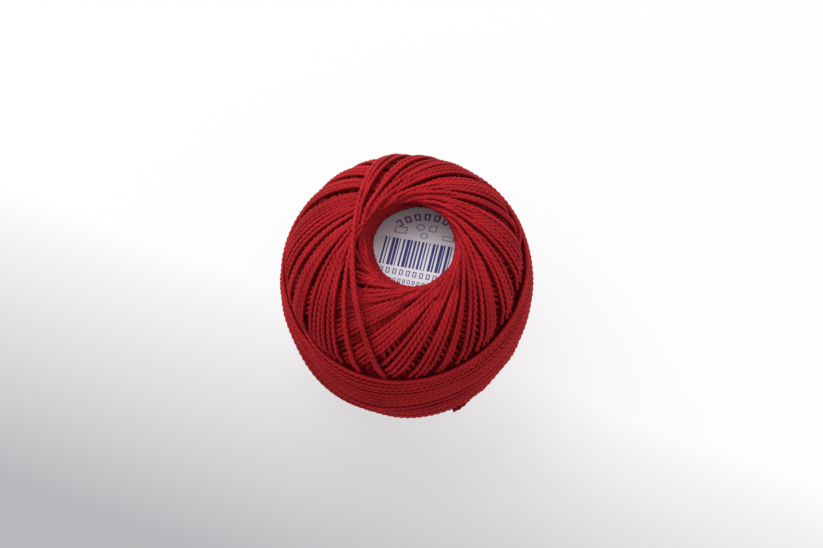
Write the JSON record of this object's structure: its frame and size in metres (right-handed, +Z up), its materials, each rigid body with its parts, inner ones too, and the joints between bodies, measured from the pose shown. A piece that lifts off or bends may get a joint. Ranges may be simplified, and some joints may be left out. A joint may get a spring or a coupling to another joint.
{
  "type": "ball of pearl cotton thread",
  "caption": "Small machine-wound ball of twisted cotton thread with a belt of level turns and a round paper label inside its open end.",
  "frame": {"origin": "on the resting surface, under the middle of the ball", "axes": "+Z up along the winding, from the closed end it stands on towards the end with the label; -Y towards the side from which the label is seen upright"},
  "size_m": [0.0428, 0.0428, 0.0388],
  "materials": {
    "thread": "lustrous two-ply mercerised cotton, deep red",
    "label": "smooth white paper with plain blue print"
  },
  "bodies": {
    "root": {"thread_ball": "thread", "end_label": "label"}
  },
  "joints": []
}
